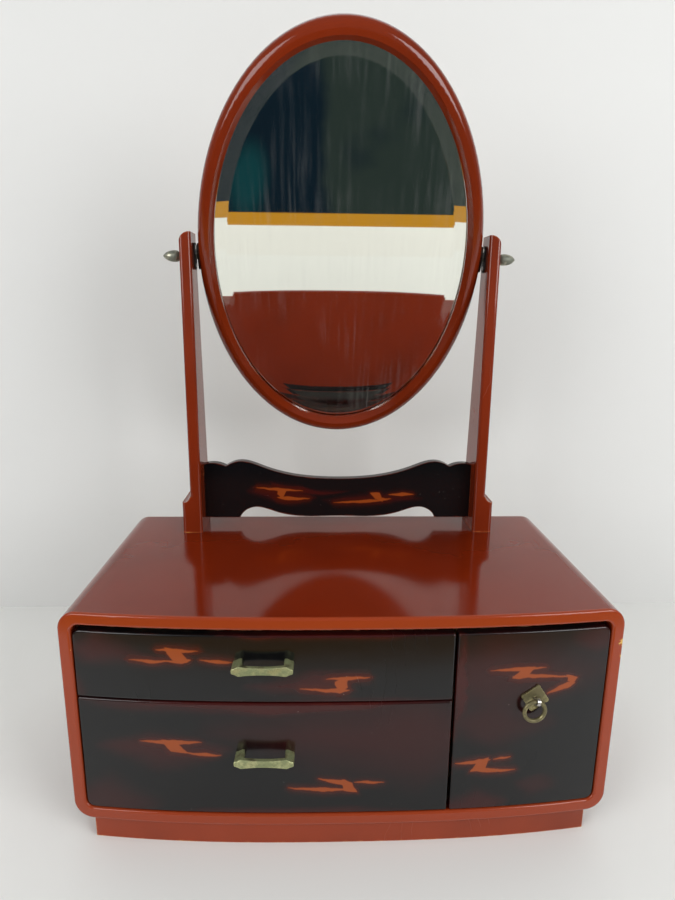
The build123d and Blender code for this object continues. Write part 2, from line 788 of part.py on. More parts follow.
# Mirror: everything below is drawn in the plane of the glass, which leans about the pivots
towards = Vector(0, -cos(radians(mirror_tilt)), -sin(radians(mirror_tilt)))
pivot_centre = Vector(0, pivot_y, pivot_z)
glass_plane = Plane(origin=pivot_centre + towards * pivot_behind_glass, x_dir=(1, 0, 0), z_dir=towards)
mirror_axis = Axis(glass_plane.origin, towards)
glass_half_width = frame_half_width - frame_rail_side + glass_rebate - glass_gap
glass_half_height = frame_half_height - frame_rail_end + glass_rebate - glass_gap
hidden_bevel = glass_rebate - glass_gap
shoulder_depth = glass_bevel_depth * glass_bevel_width / (glass_bevel_width + hidden_bevel)
rebate_half_width = glass_half_width + glass_gap
rebate_half_height = glass_half_height + glass_gap
frame_back = frame_front - frame_thickness
board_back = -glass_thickness - mirror_back_board

with BuildPart() as mirror_glass:
    with BuildSketch(glass_plane.offset(-glass_thickness)):
        with Locations((0, -mirror_drop)):
            Ellipse(glass_half_width, glass_half_height)
    extrude(amount=glass_thickness)
    glass_face = mirror_glass.faces().sort_by(mirror_axis)[-1]
    chamfer(
        glass_face.edges(),
        length=glass_bevel_width + hidden_bevel,
        length2=glass_bevel_depth,
        reference=glass_face,
    )
save(mirror_glass.part, "mirror_glass")

with BuildPart() as mirror_back:
    with BuildSketch(glass_plane.offset(board_back)):
        with Locations((0, -mirror_drop)):
            Ellipse(glass_half_width, glass_half_height)
    extrude(amount=mirror_back_board)
save(mirror_back.part, "mirror_back")

# Square-cut brads pressed into the rebate's wall, flat on the board behind the glass
with BuildPart() as back_brads:
    for sprig in range(sprig_count):
        turn = radians(360 * (sprig + 0.5) / sprig_count)
        rim = Vector(rebate_half_width * cos(turn), rebate_half_height * sin(turn), 0)
        outward = Vector(cos(turn) / rebate_half_width, sin(turn) / rebate_half_height, 0).normalized()
        start = rim - outward * sprig_length / 2 + Vector(0, -mirror_drop, board_back - sprig_board / 2)
        along = glass_plane.from_local_coords(start + outward) - glass_plane.from_local_coords(start)
        section = Plane(origin=glass_plane.from_local_coords(start), x_dir=towards, z_dir=along)
        with BuildSketch(section):
            Rectangle(sprig_board, sprig_board)
        extrude(amount=sprig_length)
save(back_brads.part, "back_brads")

with BuildPart() as mirror_frame:
    with BuildSketch(glass_plane.offset(frame_back)):
        with Locations((0, -mirror_drop)):
            Ellipse(frame_half_width, frame_half_height)
            Ellipse(frame_half_width - frame_rail_side, frame_half_height - frame_rail_end, mode=Mode.SUBTRACT)
    extrude(amount=frame_thickness)
    ridge_face = mirror_frame.faces().sort_by(mirror_axis)[-1]
    inner_edge, outer_edge = ridge_face.edges().sort_by(SortBy.LENGTH)
    chamfer(inner_edge, length=frame_slope_width, length2=frame_slope_depth, reference=ridge_face)
    outer_edge = mirror_frame.faces().sort_by(mirror_axis)[-1].edges().sort_by(SortBy.LENGTH)[-1]
    fillet(outer_edge, radius=frame_outer_round)
    outer_back_edge = mirror_frame.faces().sort_by(mirror_axis)[0].edges().sort_by(SortBy.LENGTH)[-1]
    fillet(outer_back_edge, radius=frame_back_round)
    with BuildSketch(glass_plane.offset(frame_back)):
        with Locations((0, -mirror_drop)):
            Ellipse(rebate_half_width, rebate_half_height)
    extrude(amount=-shoulder_depth - frame_back, mode=Mode.SUBTRACT)
    add(back_brads.part, mode=Mode.SUBTRACT)
    for side in (-1, 1):
        with BuildSketch(frame_plate_face(side).offset(-pivot_plate_board)):
            SlotOverall(pivot_plate_height, pivot_plate_width, rotation=90)
        extrude(amount=reach, mode=Mode.SUBTRACT)
        add(plate_screws(frame_plate_face(side), screw_clearance), mode=Mode.SUBTRACT)
        add(pivot_bore(side, pivot_screw_end_x - pivot_end_gap, plate_outer_x), mode=Mode.SUBTRACT)
save(mirror_frame.part, "mirror_frame")

# Acorn-headed pivot screws and the washers under their heads
for side, side_name in ((-1, "left"), (1, "right")):
    head_plane = Plane(origin=(side * post_outer_x, pivot_y, pivot_z), x_dir=(side, 0, 0), z_dir=(0, -side, 0))
    with BuildPart() as pivot_screw:
        with BuildSketch(head_plane):
            with BuildLine():
                shank_end = pivot_screw_end_x - post_outer_x
                neck_end = washer_board + acorn_neck
                tip = washer_board + acorn_length
                Polyline(
                    (tip, 0),
                    (shank_end, 0),
                    (shank_end, pivot_screw_radius),
                    (washer_board, pivot_screw_radius),
                    (washer_board, acorn_neck_radius),
                    (neck_end, acorn_neck_radius),
                )
                belly = (washer_board + acorn_belly, acorn_radius)
                base = ((neck_end * 2 + belly[0]) / 3, acorn_neck_radius + (acorn_radius - acorn_neck_radius) * 0.8)
                Spline((neck_end, acorn_neck_radius), base, belly, tangents=[(0, 1), (1, 0)])
                Spline(belly, (tip, 0), tangents=[(1, 0), (0.6, -1)])
            make_face()
        revolve(axis=Axis((0, pivot_y, pivot_z), (1, 0, 0)))
    save(pivot_screw.part, f"pivot_screw_{side_name}")
    with BuildPart() as washer:
        with BuildSketch(pivot_plane(side * post_outer_x, side, 0)):
            Circle(washer_radius)
            Circle(pivot_screw_radius + pivot_running_gap, mode=Mode.SUBTRACT)
        extrude(amount=washer_board)
    save(washer.part, f"washer_{side_name}")
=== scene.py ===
# %% [markdown]
# # A tabletop vanity in worn lacquer
#
# A bow-fronted box on a low plinth holds three drawers. Two posts stand on it and carry an oval mirror. The
# solids are already made, in metres, with z upwards and the front towards -y. This lesson gives each of them
# the finish of the real thing: red lacquer, black lacquer with orange clouds, bare wood where nobody looks,
# cast brass, bronze, steel and old silvered glass.
#
# The first cell brings in the solids as a fixed frame. Nothing in it is moved or reshaped from here on.

# %% Load the solids
import json
import math

import bpy
import numpy as np
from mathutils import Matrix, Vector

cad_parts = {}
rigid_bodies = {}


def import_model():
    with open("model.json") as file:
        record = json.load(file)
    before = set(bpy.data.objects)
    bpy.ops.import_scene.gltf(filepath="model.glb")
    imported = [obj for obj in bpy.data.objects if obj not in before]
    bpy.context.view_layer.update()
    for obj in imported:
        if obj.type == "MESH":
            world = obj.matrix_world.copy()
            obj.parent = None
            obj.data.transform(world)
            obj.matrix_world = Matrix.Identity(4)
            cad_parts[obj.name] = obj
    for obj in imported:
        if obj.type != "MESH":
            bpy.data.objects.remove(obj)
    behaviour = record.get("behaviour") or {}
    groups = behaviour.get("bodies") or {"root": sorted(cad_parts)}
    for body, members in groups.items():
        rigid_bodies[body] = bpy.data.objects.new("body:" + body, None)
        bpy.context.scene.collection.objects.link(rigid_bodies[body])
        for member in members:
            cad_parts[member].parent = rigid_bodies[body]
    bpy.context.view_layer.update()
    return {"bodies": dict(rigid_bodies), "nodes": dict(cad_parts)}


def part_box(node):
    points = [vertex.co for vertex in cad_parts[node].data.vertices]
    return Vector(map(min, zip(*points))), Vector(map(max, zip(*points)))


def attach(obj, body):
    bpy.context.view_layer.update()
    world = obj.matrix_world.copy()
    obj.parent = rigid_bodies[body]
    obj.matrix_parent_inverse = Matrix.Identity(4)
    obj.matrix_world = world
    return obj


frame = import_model()
solids = frame["nodes"]
ours = set(solids.values()) | set(frame["bodies"].values())
for stray in [thing for thing in bpy.data.objects if thing not in ours]:
    bpy.data.objects.remove(stray)

# %% [markdown]
# ## Sizes that the finishes need
#
# A finish follows the piece that it is on, so its places are measured from the solids: where the case is
# hollow, how far its front bows, where the glass lies. Only what no solid shows is written as a number, in
# millimetres turned to metres.

# %% Measure the solids
MM = 0.001
case_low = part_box("case_side_left")[0]
top_low, top_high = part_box("case_top")
front_bow = -top_low.y
case_half = -case_low.x
case_board = 10 * MM
bow_fullness = 2.5
glass_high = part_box("mirror_glass")[1]
print("bow", round(front_bow / MM, 1), "mm, half width", round(case_half / MM, 1), "mm")


# %% [markdown]
# ## Helpers for shader nodes
#
# A finish is a small network of nodes. Writing one by hand takes four lines a node, so a few short functions
# carry that: each adds one node, fills its sockets with numbers or with other nodes' outputs, and hands back
# the output. A network then reads like the sum that it is.

# %% Node helpers
def fill(tree, socket, value):
    """Links value to the socket if it is an output, and writes it as the socket's number or colour if not."""
    if isinstance(value, bpy.types.NodeSocket):
        tree.links.new(value, socket)
    else:
        socket.default_value = value


def node(tree, kind, sockets=None, **options):
    """Adds a shader node, sets its options, then fills the sockets named in the dictionary."""
    made = tree.nodes.new("ShaderNode" + kind)
    for name, value in options.items():
        setattr(made, name, value)
    for name, value in (sockets or {}).items():
        fill(tree, made.inputs[name], value)
    return made


def maths(tree, operation, *values, clamp=False):
    """One sum on plain numbers."""
    made = node(tree, "Math", operation=operation, use_clamp=clamp)
    for place, value in enumerate(values):
        fill(tree, made.inputs[place], value)
    return made.outputs[0]


def vectors(tree, operation, *values):
    """One sum on vectors. A dot product or a length comes out as a plain number."""
    made = node(tree, "VectorMath", operation=operation)
    for place, value in enumerate(values):
        fill(tree, made.inputs[place], value)
    return made.outputs["Value" if operation in ("DOT_PRODUCT", "LENGTH") else "Vector"]


def step(tree, value, start, end):
    """0 where value is at start, 1 where it is at end, with a smooth S between them."""
    made = node(tree, "MapRange", {"Value": value, "From Min": start, "From Max": end},
                interpolation_type="SMOOTHSTEP")
    return made.outputs["Result"]


def mix(tree, share, first, second):
    """The first colour where share is 0, the second where it is 1."""
    made = node(tree, "Mix", data_type="RGBA")
    fill(tree, made.inputs[0], share)
    fill(tree, made.inputs[6], first)
    fill(tree, made.inputs[7], second)
    return made.outputs[2]


def noise(tree, point, scale, detail=2.0, stretch=(1, 1, 1), shift=(0, 0, 0)):
    """Cloudy noise from 0 to 1, drawn out along an axis whose stretch is under 1."""
    placed = node(tree, "Mapping", {"Vector": point, "Scale": stretch, "Location": shift}).outputs[0]
    return node(tree, "TexNoise", {"Vector": placed, "Scale": scale, "Detail": detail}).outputs["Fac"]


def group(name, inputs, outputs):
    """A node group with named sockets. A default's length says if it is a number, vector or colour, and each
    output is given as 0, 3 or 4 for the same."""
    tree = bpy.data.node_groups.new(name, "ShaderNodeTree")
    kinds = {0: "NodeSocketFloat", 3: "NodeSocketVector", 4: "NodeSocketColor"}
    for label, default in inputs.items():
        kind = kinds[len(default) if hasattr(default, "__len__") else 0]
        tree.interface.new_socket(label, in_out="INPUT", socket_type=kind).default_value = default
    for label, size in outputs.items():
        tree.interface.new_socket(label, in_out="OUTPUT", socket_type=kinds[size])
    return tree, tree.nodes.new("NodeGroupInput").outputs, tree.nodes.new("NodeGroupOutput").inputs


def place(tree, made_group, sockets):
    """Places a group in a network and hands back its outputs."""
    return node(tree, "Group", sockets, node_tree=made_group).outputs


def new_finish(name):
    """A material with its network, its surface shader, and the point on the piece in the shared frame."""
    material = bpy.data.materials.new(name)
    material.use_nodes = True
    tree = material.node_tree
    return material, tree, tree.nodes["Principled BSDF"], node(tree, "TexCoord").outputs["Object"]


def coat(tree, surface, shade, rough, height):
    """Links a surface's colour and roughness, and turns its height in metres into relief."""
    fill(tree, surface.inputs["Base Color"], shade)
    fill(tree, surface.inputs["Roughness"], rough)
    bump = node(tree, "Bump", {"Height": height, "Distance": 1.0, "Strength": 1.0})
    fill(tree, surface.inputs["Normal"], bump.outputs["Normal"])


def dress(material, *names):
    """Gives the material to the solids of those names."""
    for name in names:
        mesh = solids[name].data
        mesh.materials.clear()
        mesh.materials.append(material)
    print(material.name, "on", len(names), "solids")


# %% [markdown]
# ## Wear along the edges
#
# Lacquer is thinnest on an arris, and hands and cloths rub it through there first. To find an arris, the
# group looks from the surface into the solid: under a flat face there is only wood for the few millimetres
# that it looks, and near an arris the other face is close by. Noise breaks the line up, so that it comes
# and goes.

# %% Edge wear group
edge_wear, into, out = group(
    "edge_wear",
    {"Point": (0, 0, 0), "Reach": 0.002, "Break": 0.5, "Amount": 0.5},
    {"Worn": 0},
)
found = node(edge_wear, "AmbientOcclusion", {"Distance": into["Reach"]},
             inside=True, only_local=True, samples=6).outputs["AO"]
nearness = maths(edge_wear, "SUBTRACT", 1.0, found)
ragged = maths(edge_wear, "SUBTRACT", noise(edge_wear, into["Point"], 90, 5), 0.5)
broken = maths(edge_wear, "MULTIPLY_ADD", ragged, into["Break"], nearness)
least = maths(edge_wear, "SUBTRACT", 0.75, into["Amount"])
most = maths(edge_wear, "ADD", least, 0.12)
fill(edge_wear, out["Worn"], step(edge_wear, broken, least, most))

# %% [markdown]
# ## Dust, hairlines and the skin of the lacquer
#
# An old polished surface is never a perfect mirror. It has specks of dust, hairlines from wiping, patches
# where the polish has dulled, and a faint waviness from the brush. One group makes all four, with inputs for
# how much dust and how much dulling, and every glossy finish in this lesson uses it.

# %% Old polish group
old_polish, into, out = group(
    "old_polish",
    {"Point": (0, 0, 0), "Dust": 0.3, "Smudge": 0.5},
    {"Specks": 0, "Dulled": 0, "Hairlines": 0, "Height": 0},
)
spots = node(old_polish, "TexVoronoi", {"Vector": into["Point"], "Scale": 260.0, "Randomness": 1.0})
spot_size = maths(old_polish, "MULTIPLY", spots.outputs["Color"], 0.16)
few = step(old_polish, noise(old_polish, into["Point"], 23, 2), 0.42, 0.72)
wanted = maths(old_polish, "MULTIPLY", maths(old_polish, "MULTIPLY", spot_size, few), into["Dust"])
specks = step(old_polish, spots.outputs["Distance"], wanted, maths(old_polish, "MULTIPLY", wanted, 0.5))
seen = step(old_polish, wanted, 0.012, 0.016)
fill(old_polish, out["Specks"], maths(old_polish, "MULTIPLY", specks, seen))
patches = step(old_polish, noise(old_polish, into["Point"], 14, 5), 0.45, 0.75)
fill(old_polish, out["Dulled"], maths(old_polish, "MULTIPLY", patches, into["Smudge"]))
wiped = node(old_polish, "TexWave", {
    "Vector": into["Point"], "Scale": 31.0, "Distortion": 22.0, "Detail": 3.0, "Detail Scale": 0.35,
})
lines = step(old_polish, wiped.outputs["Fac"], 0.985, 1.0)
here = step(old_polish, noise(old_polish, into["Point"], 9, 3, shift=(3, 1, 2)), 0.52, 0.7)
fill(old_polish, out["Hairlines"], maths(old_polish, "MULTIPLY", lines, here))
waves = maths(old_polish, "MULTIPLY", noise(old_polish, into["Point"], 22, 1), 0.00006)
peel = maths(old_polish, "MULTIPLY", noise(old_polish, into["Point"], 420, 2), 0.0000022)
fill(old_polish, out["Height"], maths(old_polish, "ADD", waves, peel))

# %% [markdown]
# ## Knocks in their own places
#
# Some marks aren't scattered but sit where something once happened, such as a knock on a corner. The group
# makes one such mark, 1 inside a ragged blot about a place and 0 outside it. The noise moves its edge in and
# out, so that no two look alike.

# %% Mark group
one_mark, into, out = group("one_mark", {"Point": (0, 0, 0), "At": (0, 0, 0), "Radius": 0.002}, {"Mark": 0})
away = vectors(one_mark, "LENGTH", vectors(one_mark, "SUBTRACT", into["Point"], into["At"]))
ragged = maths(one_mark, "SUBTRACT", noise(one_mark, into["Point"], 420, 3), 0.5)
reach = maths(one_mark, "MULTIPLY", into["Radius"], maths(one_mark, "MULTIPLY_ADD", ragged, 2.4, 1.0))
outer = maths(one_mark, "MULTIPLY", reach, 1.1)
fill(one_mark, out["Mark"], step(one_mark, away, outer, reach))


def marks(tree, point, places):
    """All marks of a piece together, from a list of x, y, z and radius in millimetres."""
    together = None
    for x, y, z, radius in places:
        at = (x * MM, y * MM, z * MM)
        mark = place(tree, one_mark, {"Point": point, "At": at, "Radius": radius * MM})["Mark"]
        together = maths(tree, "MAXIMUM", together, mark) if together else mark
    return together


# %% [markdown]
# ## Where the lacquer stops
#
# The maker lacquered what shows: the outside of the case and its front edge, and the face of each drawer.
# Behind the drawer fronts the wood is bare, and the red ends in a ragged brush line. The group takes the box
# of the hollow and how deep the lacquer reaches into it, and follows the bow of the front:
# depth behind the front = y + bow (1 - (2x / width) ^ fullness).

# %% Depth group
front_depth, into, out = group("front_depth", {"Point": (0, 0, 0)}, {"Depth": 0})
parts = node(front_depth, "SeparateXYZ", {"Vector": into["Point"]}).outputs
share = maths(front_depth, "DIVIDE", maths(front_depth, "ABSOLUTE", parts["X"]), case_half)
fall = maths(front_depth, "POWER", share, bow_fullness)
bowed = maths(front_depth, "MULTIPLY", maths(front_depth, "SUBTRACT", 1.0, fall), front_bow)
fill(front_depth, out["Depth"], maths(front_depth, "ADD", parts["Y"], bowed))

# %% Bare inside group
bare_inside, into, out = group(
    "bare_inside",
    {"Point": (0, 0, 0), "Low": (-0.2, 0, 0), "High": (0.2, 0.2, 0.2), "Lacquered Depth": 0.012},
    {"Bare": 0},
)
depth = place(bare_inside, front_depth, {"Point": into["Point"]})["Depth"]
brushed = maths(bare_inside, "MULTIPLY", noise(bare_inside, into["Point"], 60, 3), 0.006)
depth = maths(bare_inside, "ADD", depth, brushed)
bare = step(bare_inside, maths(bare_inside, "SUBTRACT", depth, into["Lacquered Depth"]), 0.0, 0.0006)
from_low = node(bare_inside, "SeparateXYZ",
                {"Vector": vectors(bare_inside, "SUBTRACT", into["Point"], into["Low"])}).outputs
from_high = node(bare_inside, "SeparateXYZ",
                 {"Vector": vectors(bare_inside, "SUBTRACT", into["High"], into["Point"])}).outputs
for gap in (from_low["X"], from_low["Z"], from_high["X"], from_high["Z"]):
    bare = maths(bare_inside, "MULTIPLY", bare, maths(bare_inside, "GREATER_THAN", gap, 0.0))
fill(bare_inside, out["Bare"], bare)

# %% [markdown]
# ## Plain wood
#
# Inside are thin boards of pale softwood. Cut lengthwise, such a board shows close, slightly wavering lines
# along its length, darker where the summer wood is. The group draws noise far out along the grain, sharpens
# it into lines, and adds finer pores. Which way the grain runs is an input, as a stretch.

# %% Wood grain group
wood_grain, into, out = group(
    "wood_grain",
    {"Point": (0, 0, 0), "Along": (1, 0.06, 1), "Pale": (0.5, 0.34, 0.2, 1), "Dark": (0.3, 0.17, 0.08, 1)},
    {"Colour": 4, "Height": 0},
)
drawn = vectors(wood_grain, "MULTIPLY", into["Point"], into["Along"])
wander = node(wood_grain, "TexNoise", {"Vector": drawn, "Scale": 12.0, "Detail": 2.0})
bands = node(wood_grain, "TexNoise", {"Vector": drawn, "Scale": 180.0, "Detail": 2.0, "Distortion": 0.6})
lined = maths(wood_grain, "MULTIPLY_ADD", wander.outputs["Fac"], 0.4, bands.outputs["Fac"])
rings = step(wood_grain, lined, 0.45, 0.95)
pores = noise(wood_grain, drawn, 900, 1)
fill(wood_grain, out["Colour"], mix(wood_grain, rings, into["Pale"], into["Dark"]))
relief = maths(wood_grain, "ADD", pores, rings)
fill(wood_grain, out["Height"], maths(wood_grain, "MULTIPLY", relief, 0.00004))

# %% [markdown]
# ## Red lacquer
#
# The case, plinth, stand and frame are vermilion lacquer gone brown-red with age. The gloss is the lacquer's
# own, so it is a plain dielectric with low roughness, and no separate coat. The colour wanders a little, the
# arris goes lighter where it is rubbed, and here and there a chip goes down to yellow wood. One function
# makes each of the four, because they differ only in shade, gloss and how hard their life was.

# %% Red lacquer materials
VERMILION = (0.27, 0.036, 0.008, 1)
# Painted shade: the case's base red, darker than the plinth's, stands in for the shade on the less lit top;
# the brighter VERMILION goes on its front edge as painted light.
SHADED_VERMILION = (0.17, 0.015, 0.002, 1)
DEEP_RED = (0.19, 0.021, 0.004, 1)
RUBBED_RED = (0.42, 0.10, 0.035, 1)
BARE_WOOD = (0.62, 0.36, 0.075, 1)
DUST = (0.62, 0.58, 0.52, 1)
LACQUER_SPECULAR = 0.42
KNOCKS = ((214.5, -0.2, 173, 2.6), (215, 0.4, 161, 1.5), (-205, -1.5, 177, 0.9), (-205.3, -1.5, 170, 1.1))


def away_from_joints(tree, point, half_width, low, high):
    """0 along the mitres at the four corners of the case, where filler under the lacquer hides the joint."""
    parts = node(tree, "SeparateXYZ", {"Vector": point}).outputs
    from_side = maths(tree, "SUBTRACT", half_width, maths(tree, "ABSOLUTE", parts["X"]))
    from_top = maths(tree, "SUBTRACT", high, parts["Z"])
    from_floor = maths(tree, "SUBTRACT", parts["Z"], low)
    nearest = maths(tree, "MINIMUM", from_top, from_floor)
    return step(tree, maths(tree, "ABSOLUTE", maths(tree, "SUBTRACT", from_side, nearest)), 0.0022, 0.004)


def red_lacquer(name, colour, gloss, worn, dust, hollow=None, lit_front_shade=None):
    """Lacquer of one shade. gloss is its roughness, hollow the box in which its wood is bare, and the last
    argument, when given, a brighter shade painted on the front edge of the boards as painted light, while the
    base colour on the rest of them stands in for the shade on the top."""
    material, tree, surface, point = new_finish(name)
    dark = tuple(0.72 * part for part in colour[:3]) + (1,)
    shade = mix(tree, step(tree, noise(tree, point, 8, 4), 0.35, 0.75), colour, dark)
    # Painted light: the front edge of the boards gets the brighter shade, and the darker base shade on the
    # rest stands in for the shade on the top.
    if lit_front_shade:
        depth = place(tree, front_depth, {"Point": point})["Depth"]
        shade = mix(tree, step(tree, depth, 0.0035, 0.0015), shade, lit_front_shade)
    rub = place(tree, edge_wear, {"Point": point, "Reach": 0.0025, "Break": 0.55, "Amount": worn})["Worn"]
    chip = place(tree, edge_wear, {
        "Point": point, "Reach": 0.0018, "Break": 1.6, "Amount": worn - 0.32,
    })["Worn"]
    if hollow:
        clear = away_from_joints(tree, point, case_half, floor_z, top_high.z)
        rub = maths(tree, "MULTIPLY", rub, clear)
        chip = maths(tree, "MAXIMUM", maths(tree, "MULTIPLY", chip, clear), marks(tree, point, KNOCKS))
    shade = mix(tree, maths(tree, "MULTIPLY", rub, 0.6), shade, RUBBED_RED)
    shade = mix(tree, chip, shade, BARE_WOOD)
    polish = place(tree, old_polish, {"Point": point, "Dust": dust, "Smudge": 0.5})
    shade = mix(tree, polish["Specks"], shade, DUST)
    rough = maths(tree, "MULTIPLY_ADD", polish["Dulled"], 0.12, gloss)
    rough = maths(tree, "MULTIPLY_ADD", polish["Hairlines"], 0.15, rough)
    rough = maths(tree, "MULTIPLY_ADD", rub, 0.12, rough)
    rough = maths(tree, "MULTIPLY_ADD", polish["Specks"], 0.4, rough)
    height = maths(tree, "MULTIPLY_ADD", chip, -0.00015, polish["Height"])
    if hollow:
        low, high = hollow
        bare = place(tree, bare_inside, {
            "Point": point, "Low": low, "High": high, "Lacquered Depth": 0.016,
        })["Bare"]
        wood = place(tree, wood_grain, {"Point": point})
        shade = mix(tree, bare, shade, wood["Colour"])
        rough = maths(tree, "MAXIMUM", rough, maths(tree, "MULTIPLY", bare, 0.7))
        height = maths(tree, "MULTIPLY_ADD", bare, wood["Height"], height)
    coat(tree, surface, shade, rough, height)
    fill(tree, surface.inputs["Specular IOR Level"], LACQUER_SPECULAR)
    return material


skin = 0.2 * MM
floor_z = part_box("case_bottom")[0].z
hollow_half = case_half - case_board + skin
hollow = (
    (-hollow_half, -1, floor_z + case_board - skin),
    (hollow_half, 1, top_high.z - case_board + skin),
)
# The case: darker red as painted shade, brighter red on its front edge as painted light.
case_red = red_lacquer("case_red", SHADED_VERMILION, 0.10, 0.38, 0.35, hollow, VERMILION)
plinth_red = red_lacquer("plinth_red", VERMILION, 0.2, 0.42, 0.3)
stand_red = red_lacquer("stand_red", DEEP_RED, 0.12, 0.42, 0.3)
frame_red = red_lacquer("frame_red", DEEP_RED, 0.10, 0.16, 0.15)
dress(case_red, "case_top", "case_bottom", "case_side_left", "case_side_right")
dress(plinth_red, "plinth_front", "plinth_side_left", "plinth_side_right")
dress(stand_red, "post_left", "post_right")
dress(frame_red, "mirror_frame")

# %% [markdown]
# ## Orange clouds on black lacquer
#
# The drawer fronts and the stretcher are black over red over orange. While each coat was soft the maker drew
# it aside in level, flame-like clouds, so the orange shows in crisp tapering tongues with a dark red edge.
# An image would do it, but a pattern in nodes stays sharp at any distance. A tongue is one brush stroke: a
# line from start to end that sags in between, swells to its widest at a peak, and tapers to nothing.

# %% Brush stroke group
brush_stroke, into, out = group(
    "brush_stroke",
    {
        "Point": (0, 0, 0), "Start": (0, 0, 0), "End": (0.01, 0, 0),
        "Half Width": 0.002, "Bend": 0.0, "Peak": 0.5,
    },
    {"Inside": 0},
)
along = vectors(brush_stroke, "SUBTRACT", into["End"], into["Start"])
across = vectors(brush_stroke, "CROSS_PRODUCT", along, (0, 1, 0))
length = vectors(brush_stroke, "LENGTH", along)
reached = vectors(brush_stroke, "SUBTRACT", into["Point"], into["Start"])
covered = vectors(brush_stroke, "DOT_PRODUCT", reached, along)
travel = maths(brush_stroke, "DIVIDE", covered, maths(brush_stroke, "MULTIPLY", length, length))
share = maths(brush_stroke, "ADD", travel, 0.0, clamp=True)
left = maths(brush_stroke, "SUBTRACT", 1.0, share)
off_line = maths(brush_stroke, "DIVIDE", vectors(brush_stroke, "DOT_PRODUCT", reached, across), length)
sag = maths(brush_stroke, "MULTIPLY", maths(brush_stroke, "MULTIPLY", share, left),
            maths(brush_stroke, "MULTIPLY", into["Bend"], 4.0))
swell = maths(brush_stroke, "MINIMUM", maths(brush_stroke, "DIVIDE", share, into["Peak"]),
              maths(brush_stroke, "DIVIDE", left, maths(brush_stroke, "SUBTRACT", 1.0, into["Peak"])))
half = maths(brush_stroke, "MULTIPLY", maths(brush_stroke, "POWER", swell, 0.85), into["Half Width"])
past = maths(brush_stroke, "MULTIPLY", length,
             maths(brush_stroke, "ABSOLUTE", maths(brush_stroke, "SUBTRACT", travel, share)))
aside = maths(brush_stroke, "ABSOLUTE", maths(brush_stroke, "SUBTRACT", off_line, sag))
inside = maths(brush_stroke, "SUBTRACT", maths(brush_stroke, "SUBTRACT", half, aside), past)
fill(brush_stroke, out["Inside"], inside)

# %% [markdown]
# Each cloud is two or three level tongues with a short slanting one that joins them. The strokes are listed
# as the brush would make them, in millimetres on the face: start x and z, end x and z, half width, bend, and
# where along it the stroke is widest. The drifts under them are wide soft strokes, where the black was rubbed
# thin enough for the red to glow through, and their eighth number is how thin.

# %% Strokes of each front
STROKES = {
    "upper_drawer_front": (
        (-141, 174, -109, 173.4, 1.6, -0.4, 0.5), (-134, 175.6, -117, 164.4, 5.2, -0.6, 0.5),
        (-162, 165, -128, 164.5, 1.3, -0.8, 0.5), (-133, 164.2, -114.5, 166, 1.9, -0.6, 0.65),
        (-108.5, 166.3, -84, 164.8, 1.5, -0.6, 0.6),
        (-34, 142.7, 3, 141.2, 1.7, -0.6, 0.8), (-5, 139.2, 2, 152.6, 5.2, 1.2, 0.45),
        (-14.5, 150.8, 18.5, 151.8, 1.3, 0, 0.5),
    ),
    "lower_drawer_front": (
        (-157, 95, -110, 96, 2.2, -0.5, 0.5), (-141, 96.6, -121, 85.8, 4.8, -0.6, 0.5),
        (-124.5, 86.2, -95, 84.7, 1.4, -0.5, 0.6),
        (-20, 63.4, 7, 58.8, 2.2, -0.4, 0.75), (-1, 62, 10, 51, 4.8, -1.2, 0.5),
        (-43, 55, 6.5, 53.5, 1.8, -0.5, 0.55), (9, 60, 31.5, 59.4, 1.2, -0.2, 0.4),
    ),
    "deep_drawer_front": (
        (111, 155, 155, 155.4, 1.6, 0.1, 0.5), (145, 156.6, 128, 147.6, 4.4, 0.8, 0.5),
        (128, 149.3, 178, 145.6, 1.5, 0.5, 0.3), (171, 147.6, 174.5, 137.4, 3.6, 3.6, 0.5),
        (178, 140.5, 156.5, 132.6, 2.4, -0.6, 0.25),
        (87, 74.5, 115, 76.4, 1.8, -0.5, 0.7), (117.5, 76.6, 131.5, 78.6, 0.9, 0, 0.5),
        (113.5, 78.2, 100, 66.4, 4.8, 0.8, 0.45), (101, 68.8, 136, 66.2, 2.0, -1.0, 0.25),
    ),
    "stretcher": (
        (-83, 241.8, -36, 238.6, 1.4, -0.4, 0.45), (-61, 241.6, -57, 230, 4.8, 1.6, 0.5),
        (-63, 231.5, -29, 230.2, 2.0, -1.0, 0.35),
        (-5, 225.8, 45, 228, 1.6, -0.3, 0.75), (33, 236, 46, 227, 4.0, 1.4, 0.5),
        (42, 229.4, 54.5, 229.6, 1.6, 0, 0.2), (51.5, 234.2, 77.5, 234.6, 1.7, 0.2, 0.55),
    ),
}


